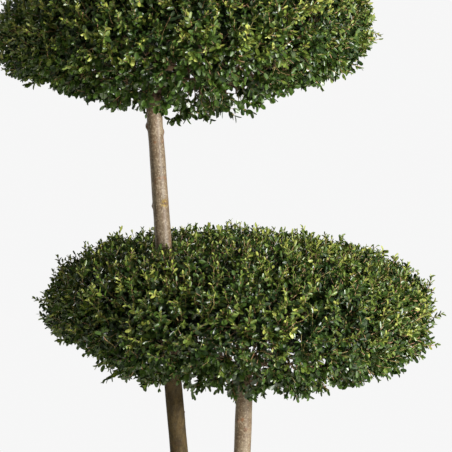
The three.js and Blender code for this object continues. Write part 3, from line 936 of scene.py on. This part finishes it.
# %% Place all the leaves, at the surface and inside
LEAF_SEED_STEP = 100
TWIG_SHARE = 0.55
SHOOT_SHARE = 0.45
leaf_places = {}
for cushion in CUSHIONS:
    name = cushion["name"]
    chance = np.random.default_rng(cushion["seed"] + LEAF_SEED_STEP)
    twig_liveliness = chance.random(TWIGS["count"])
    lots = []
    for kind, leaves in (("mature", MATURE_LEAVES), ("young", YOUNG_LEAVES)):
        found = shoots[name][kind]
        shoot_liveliness = chance.random(len(found["lines"]))
        liveliness = TWIG_SHARE * twig_liveliness[found["twig"]] + SHOOT_SHARE * shoot_liveliness
        # The cushion's own raise is partly painted light on the upper cushion.
        liveliness = liveliness + cushion["liveliness"]
        lots.append(place_leaves(found["lines"], leaves, chance, found["outward"], liveliness))
    inner = limbs[name]["inner_shoots"]
    # Leaves in the shade face no way in particular and have no liveliness of their own.
    nowhere = np.zeros((len(inner), 3))
    lots.append(place_leaves(inner, INNER_LEAVES, chance, nowhere, nowhere[:, 0]))
    leaf_places[name] = [np.concatenate(lot) for lot in zip(*lots)]
    print(name, len(leaf_places[name][0]), "leaves")

# %% Shape the leaves and deal them out in five tints
LEAF_TINTS = ("deep", "dark", "mid", "fresh", "young")
TINT_STEPS = (0.22, 0.44, 0.67, 0.93)


def shape_leaves(root, direction, facing, size, width, curl):
    """The corners of every leaf: the one leaf stretched, curled, turned and moved to its root."""
    side = unit(np.cross(facing, direction))
    facing = np.cross(direction, side)
    x, y, z = leaf_corners.T
    return (
        root[:, None]
        + direction[:, None] * np.outer(size, x)[..., None]
        + side[:, None] * np.outer(size * width, y)[..., None]
        + facing[:, None] * np.outer(size * curl, z)[..., None]
    )


leaf_pieces = {tint: [] for tint in LEAF_TINTS}
for name, (*frames, score, curl) in leaf_places.items():
    corners = shape_leaves(*frames, curl)
    dealt = np.digitize(score, TINT_STEPS)
    for index, tint in enumerate(LEAF_TINTS):
        chosen = corners[dealt == index]
        first = np.arange(len(chosen))[:, None, None] * len(leaf_corners)
        faces = (leaf_faces[None] + first).reshape(-1, 3)
        leaf_pieces[tint].append(joined_mesh(f"{name}_leaves_{tint}", [(chosen.reshape(-1, 3), [faces])]))
    print(name, "leaves of each tint", np.bincount(dealt, minlength=len(LEAF_TINTS)).tolist())

# %% [markdown]
# ## Finishes
#
# Finishes are node recipes. Wiring nodes by hand is hard to read, so a small class stands for a value that
# varies over a surface: sums and products of such values add the maths nodes by themselves, and one
# function adds any other node.


# %% Nodes, and values that can be added and multiplied
def add_node(tree, kind, settings=None, inputs=None):
    """One node: its settings first, then the values and links of its sockets."""
    node = tree.nodes.new(kind)
    for key, value in (settings or {}).items():
        setattr(node, key, value)
    for key, value in (inputs or {}).items():
        value = value.socket if isinstance(value, Varying) else value
        if isinstance(value, bpy.types.NodeSocket):
            tree.links.new(value, node.inputs[key])
        else:
            node.inputs[key].default_value = value
    return node


class Varying:
    """A number that varies over a surface."""

    def __init__(self, tree, socket):
        self.tree = tree
        self.socket = socket

    def combine(self, operation, *terms):
        node = add_node(self.tree, "ShaderNodeMath", {"operation": operation}, dict(enumerate(terms)))
        return Varying(self.tree, node.outputs[0])

    def __add__(self, other):
        return self.combine("ADD", self, other)

    def __radd__(self, other):
        return self.combine("ADD", other, self)

    def __sub__(self, other):
        return self.combine("SUBTRACT", self, other)

    def __rsub__(self, other):
        return self.combine("SUBTRACT", other, self)

    def __mul__(self, other):
        return self.combine("MULTIPLY", self, other)

    def __rmul__(self, other):
        return self.combine("MULTIPLY", other, self)

    def __abs__(self):
        return self.combine("ABSOLUTE", self)


print("a varying value knows", [name for name in vars(Varying) if name[2:5] in ("add", "sub", "mul", "abs")])


# %% A recipe for a material
class Recipe:
    """A material under construction."""

    def __init__(self, name):
        self.material = bpy.data.materials.new(name)
        self.material.use_nodes = True
        self.tree = self.material.node_tree
        self.tree.nodes.clear()
        self.place = add_node(self.tree, "ShaderNodeTexCoord").outputs["Object"]

    def varying(self, output, *node):
        """The number that one output of a new node gives."""
        return Varying(self.tree, add_node(self.tree, *node).outputs[output])

    def noise(self, per_metre, detail=2.0, roughness=0.5, stretch=None):
        """Noise between about 0.3 and 0.7, so many blotches to the metre, stretched along each axis."""
        place = self.place
        if stretch:
            inputs = {"Vector": self.place, "Scale": stretch}
            place = add_node(self.tree, "ShaderNodeMapping", None, inputs).outputs["Vector"]
        inputs = {"Vector": place, "Scale": per_metre, "Detail": detail, "Roughness": roughness}
        return self.varying("Fac", "ShaderNodeTexNoise", None, inputs)

    def along(self, axis):
        """How far along X, Y or Z the place is."""
        return self.varying(axis, "ShaderNodeSeparateXYZ", None, {0: self.place})

    def step(self, value, low, high):
        """Nought below low, one above high and smooth between. With low above high it runs the other way."""
        inputs = {"Value": value, "From Min": low, "From Max": high}
        return self.varying("Result", "ShaderNodeMapRange", {"interpolation_type": "SMOOTHSTEP"}, inputs)

    def near(self, spot, radius, core=0.35):
        """One at a spot and in the core round it, and nought beyond a radius from it."""
        inputs = {0: self.place, 1: spot}
        gap = self.varying("Value", "ShaderNodeVectorMath", {"operation": "DISTANCE"}, inputs)
        return 1 - self.step(gap, radius * core, radius)

    def blend(self, mask, one, other):
        """One colour where the mask is nought and the other where it is one."""
        inputs = {0: mask, 6: one, 7: other}
        return add_node(self.tree, "ShaderNodeMix", {"data_type": "RGBA"}, inputs).outputs[2]

    def bump(self, height, distance, strength):
        """Small relief that is too fine for the mesh."""
        inputs = {"Height": height, "Distance": distance, "Strength": strength}
        return add_node(self.tree, "ShaderNodeBump", None, inputs).outputs["Normal"]

    def finish(self, **inputs):
        """Ends the recipe with the surface itself."""
        named = {key.replace("_", " ").title().replace("Ior", "IOR"): value for key, value in inputs.items()}
        surface = add_node(self.tree, "ShaderNodeBsdfPrincipled", None, named)
        add_node(self.tree, "ShaderNodeOutputMaterial", None, {"Surface": surface.outputs[0]})
        return self.material


print("a recipe knows", [name for name in vars(Recipe) if not name.startswith("_")])


# %% Colours named by their screen values
def colour(red, green, blue):
    """The shader's colour for screen values from 0 to 255, by the standard curve of screens."""
    screen = np.array([red, green, blue]) / 255
    linear = np.where(screen <= 0.04045, screen / 12.92, ((screen + 0.055) / 1.055) ** 2.4)
    return (*linear.tolist(), 1.0)


print("a screen grey of 128 is", round(colour(128, 128, 128)[0], 3), "to the shader")

# %% [markdown]
# ### Bark
#
# The bark is a warm grey-brown. Paler and browner clouds lie over each other, pores show as fine pale and
# dark flecks, old growth rings as faint darker bands, and the knobs are rust brown, one of them with a trace
# of yellow lichen. Low down the tall stem the bark is painted a dark mottled olive for the shade of the
# lower cushion, and it is dull there, while the rest of the bark has a faint broad sheen. An image could
# hold all this. It is read from the place on the stem instead, so nothing stretches or slides.

# %% Clouds, streaks and flecks of the bark
bark_recipe = Recipe("privet bark")


def bark_marks(noise_values, edges):
    """A mask of the marks where a noise on the bark is above its edges."""
    return bark_recipe.step(bark_recipe.noise(*noise_values), *edges)


clouds = bark_marks((26, 4, 0.6), (0.38, 0.64))
streaks = bark_marks((70, 3, 0.55, (1, 1, 0.3)), (0.42, 0.66))
bands = bark_marks((30, 2, 0.5, (0.25, 0.25, 1.6)), (0.56, 0.68))
flecks = bark_marks((260, 2, 0.6), (0.52, 0.62))
pits = bark_marks((210, 2, 0.6, (1, 1, 0.7)), (0.55, 0.66))
rust = bark_marks((60, 2, 0.5), (0.62, 0.72))
bark_colour = bark_recipe.blend(clouds, colour(112, 95, 73), colour(142, 127, 105))
bark_layers = [
    (streaks * 0.5, colour(118, 94, 70)),
    (bands * 0.4, colour(104, 82, 62)),
    (flecks * 0.5, colour(190, 174, 150)),
    (pits * 0.65, colour(92, 68, 48)),
    (rust * 0.6, colour(140, 92, 56)),
]
for mask, tint in bark_layers:
    bark_colour = bark_recipe.blend(mask, bark_colour, tint)
print("bark layers over the clouds", len(bark_layers))

# %% Painted shade low on the tall stem, rings, stained knobs and lichen
# Painted shade: low on the tall stem the bark is darkened to a mottled olive and dulled, for the shadow of
# the lower cushion.
PAINTED_SHADE_LOW_STEM = {"right_edge": (0.01, -0.03), "top_edge": (1.1, 0.86), "strength": 0.9}
SCAR_RINGS = (1.357, 0.764)
SCAR_RING = {"wobble": 0.006, "edges": (0.001, 0.004), "strength": 0.3}
STAIN = {"reach": 2.2, "strength": 0.7}
LICHEN = {"knob": 3, "offset": (0.001, -0.004, -0.003), "radius": 0.014, "strength": 0.7}

# Mask of the painted shade on the tall stem below the lower cushion.
painted_shade_low_stem = bark_recipe.step(bark_recipe.along("X"), *PAINTED_SHADE_LOW_STEM["right_edge"])
painted_shade_low_stem = painted_shade_low_stem * bark_recipe.step(bark_recipe.along("Z"), *PAINTED_SHADE_LOW_STEM["top_edge"])
painted_shade_mottle = bark_marks((75, 4, 0.65, (1, 1, 0.5)), (0.36, 0.64))
painted_shade_colour = bark_recipe.blend(painted_shade_mottle, colour(40, 32, 13), colour(74, 61, 33))
bark_colour = bark_recipe.blend(painted_shade_low_stem * PAINTED_SHADE_LOW_STEM["strength"], bark_colour, painted_shade_colour)
ragged_height = bark_recipe.along("Z") + SCAR_RING["wobble"] * bark_recipe.noise(60, 2)
for ring_height in SCAR_RINGS:
    ring = 1 - bark_recipe.step(abs(ragged_height - ring_height), *SCAR_RING["edges"])
    bark_colour = bark_recipe.blend(ring * SCAR_RING["strength"], bark_colour, colour(70, 50, 34))
for knob in KNOBS:
    stain = bark_recipe.near(tuple(knob["place"]), knob["radius"] * STAIN["reach"])
    bark_colour = bark_recipe.blend(stain * STAIN["strength"], bark_colour, colour(104, 66, 42))
lichen_spot = tuple(KNOBS[LICHEN["knob"]]["place"] + Vector(LICHEN["offset"]))
lichen = bark_recipe.near(lichen_spot, LICHEN["radius"]) * bark_marks((240,), (0.45, 0.55))
bark_colour = bark_recipe.blend(lichen * LICHEN["strength"], bark_colour, colour(176, 148, 66))
print("lichen at", [round(value, 3) for value in lichen_spot])

# %% Finish the bark
def dress(piece, material):
    """Gives a piece its finish."""
    piece.data.materials.clear()
    piece.data.materials.append(material)


bark_grain = bark_recipe.noise(480, 2, 0.6) + flecks * 0.5 - pits * 0.6
bark_material = bark_recipe.finish(
    base_color=bark_colour,
    roughness=0.4 + 0.3 * bark_recipe.noise(90) + 0.22 * painted_shade_low_stem,
    specular_ior_level=0.2,
    coat_weight=0.65 * (1 - painted_shade_low_stem),
    coat_roughness=0.5,
    normal=bark_recipe.bump(bark_grain, distance=0.0008, strength=0.7),
)
dress(bark, bark_material)
print("bark finish", len(bark_material.node_tree.nodes), "nodes")

# %% [markdown]
# ### Twigs and shoots
#
# Boughs and twigs are brown, mottled with a paler tan. The youngest shoots are olive with reddish
# brown stretches. Where the colour changes from one spray to the next is chance, so noise does it.

# %% Twig and shoot finishes
WOOD_FINISHES = {
    "bough wood": {
        "noise": (40, 3),
        "edges": (0.4, 0.62),
        "tints": (colour(86, 68, 50), colour(128, 104, 78)),
        "roughness": 0.7,
        "pieces": limb_pieces,
        "slot": "bark",
    },
    "young shoot": {
        "noise": (30, 2),
        "edges": (0.38, 0.56),
        "tints": (colour(170, 130, 98), colour(138, 126, 76)),
        "roughness": 0.5,
        "pieces": shoot_pieces,
        "slot": "foliage",
    },
}
for name, wood in WOOD_FINISHES.items():
    wood_recipe = Recipe(name)
    wood_mottle = wood_recipe.step(wood_recipe.noise(*wood["noise"]), *wood["edges"])
    wood_colour = wood_recipe.blend(wood_mottle, *wood["tints"])
    wood_material = wood_recipe.finish(base_color=wood_colour, roughness=wood["roughness"])
    for piece in wood["pieces"]:
        dress(piece, wood_material)
    print(name, "on", [piece.name for piece in wood["pieces"]])

# %% [markdown]
# ### Leaves
#
# Old leaves are deep bottle green, the newest ones yellow-green and softer. The tint is dealt out by spray
# and by age when the leaves are placed, so a finish needs no map of the plant. Each is a pair of close
# greens, mottled within a leaf, with a roughness that varies and a clear coat for the gloss.

# %% Leaf finishes
LEAF_FINISHES = {
    "deep": {"tints": (colour(27, 47, 18), colour(37, 60, 23)), "roughness": 0.34, "coat": 0.05},
    "dark": {"tints": (colour(33, 55, 19), colour(46, 71, 25)), "roughness": 0.3, "coat": 0.28},
    "mid": {"tints": (colour(55, 79, 27), colour(76, 102, 38)), "roughness": 0.28, "coat": 0.42},
    "fresh": {"tints": (colour(88, 107, 40), colour(115, 133, 54)), "roughness": 0.3, "coat": 0.34},
    "young": {"tints": (colour(142, 152, 64), colour(170, 176, 86)), "roughness": 0.38, "coat": 0.15},
}
LEAF_ROUGHNESS_SPREAD = 0.14
LEAF_COAT_ROUGHNESS = 0.37
for tint, leaf in LEAF_FINISHES.items():
    leaf_recipe = Recipe("leaf " + tint)
    leaf_mottle = leaf_recipe.step(leaf_recipe.noise(170, 2, 0.6), 0.38, 0.62)
    leaf_material = leaf_recipe.finish(
        base_color=leaf_recipe.blend(leaf_mottle, *leaf["tints"]),
        roughness=leaf["roughness"] + LEAF_ROUGHNESS_SPREAD * leaf_recipe.noise(230, 2),
        coat_weight=leaf["coat"],
        coat_roughness=LEAF_COAT_ROUGHNESS,
    )
    for piece in leaf_pieces[tint]:
        dress(piece, leaf_material)
print("leaf finishes", len(LEAF_FINISHES))

# %% [markdown]
# ## Studio
#
# The plant stands on a plain floor of warm off-white, in front of a pale wall of light. Four soft lamps are
# round it. The key lamp to the right, in front and above gives the leaves their glints and leaves the left
# side darker. A wide faint one overhead lights the tops, one behind on the left parts the shaded edge from
# the wall, and a low warm one in front stands for the light that the ground throws back. One strong lamp
# would be simpler, but its shadows would be black. The background is brighter to the camera than the light
# it gives, as a lit backdrop behind a product is.

# %% Floor and backdrop
FLOOR_HALF = 4.2
BACKDROP = {"Color": (0.925, 0.925, 0.925, 1), "Strength": 1.0}
SKYLIGHT = {"Color": (0.955, 0.975, 0.905, 1), "Strength": 0.232}
floor_shape = bmesh.new()
bmesh.ops.create_circle(floor_shape, cap_ends=True, segments=96, radius=FLOOR_HALF)
floor = object_from(floor_shape, "floor")
floor_material = Recipe("floor").finish(base_color=colour(236, 232, 222), roughness=0.9)
floor.data.materials.append(floor_material)

world = bpy.data.worlds.new("studio")
scene.world = world
world.use_nodes = True
air = world.node_tree
air.nodes.clear()
seen = add_node(air, "ShaderNodeBackground", None, BACKDROP)
given = add_node(air, "ShaderNodeBackground", None, SKYLIGHT)
rays = add_node(air, "ShaderNodeLightPath")
to_camera = {0: rays.outputs["Is Camera Ray"], 1: given.outputs[0], 2: seen.outputs[0]}
either = add_node(air, "ShaderNodeMixShader", None, to_camera)
add_node(air, "ShaderNodeOutputWorld", None, {"Surface": either.outputs[0]})
print("floor", 2 * FLOOR_HALF, "m across, skylight", SKYLIGHT["Strength"])

# %% Lamps
LAMP_TARGET = (0, 0, 1.3)
LAMPS = table(
    ("name", "place", "size", "watts", "tone"),
    ("key", (3.1, -2.7, 1.86), 0.7, 256, (1, 0.985, 0.965)),
    ("top", (0.5, -0.8, 4.4), 2.0, 8, (1, 1, 1)),
    ("rim", (-2.4, 2.2, 2.6), 1.6, 50, (1, 0.99, 0.95)),
    ("bounce", (0.9, -3.1, 0.62), 1.1, 13, (1, 0.95, 0.76)),
)
for lamp in LAMPS:
    light = bpy.data.lights.new(lamp["name"], "AREA")
    light.shape = "DISK"
    light.size = lamp["size"]
    light.energy = lamp["watts"]
    light.color = lamp["tone"]
    holder = bpy.data.objects.new(lamp["name"], light)
    scene.collection.objects.link(holder)
    aim(holder, lamp["place"], LAMP_TARGET)
scene.view_settings.view_transform = "Standard"
print("lamps", [lamp["name"] for lamp in LAMPS])

# %% [markdown]
# ## Hand over
#
# The plant is one body that is rooted in the ground, so every piece rides on it. The bark stands for both
# stems of the frame, and the limbs, shoots and leaves of a cushion stand for its clipped mass.

# %% Tie every piece to the frame
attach(bark, "root")
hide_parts("tall_stem", "short_stem")
for index, cushion in enumerate(CUSHIONS):
    pieces = [limb_pieces[index], shoot_pieces[index]] + [leaf_pieces[tint][index] for tint in LEAF_TINTS]
    for piece in pieces:
        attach(piece, "root")
        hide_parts(cushion["node"])
    print(len(pieces), "pieces stand for", cushion["node"])
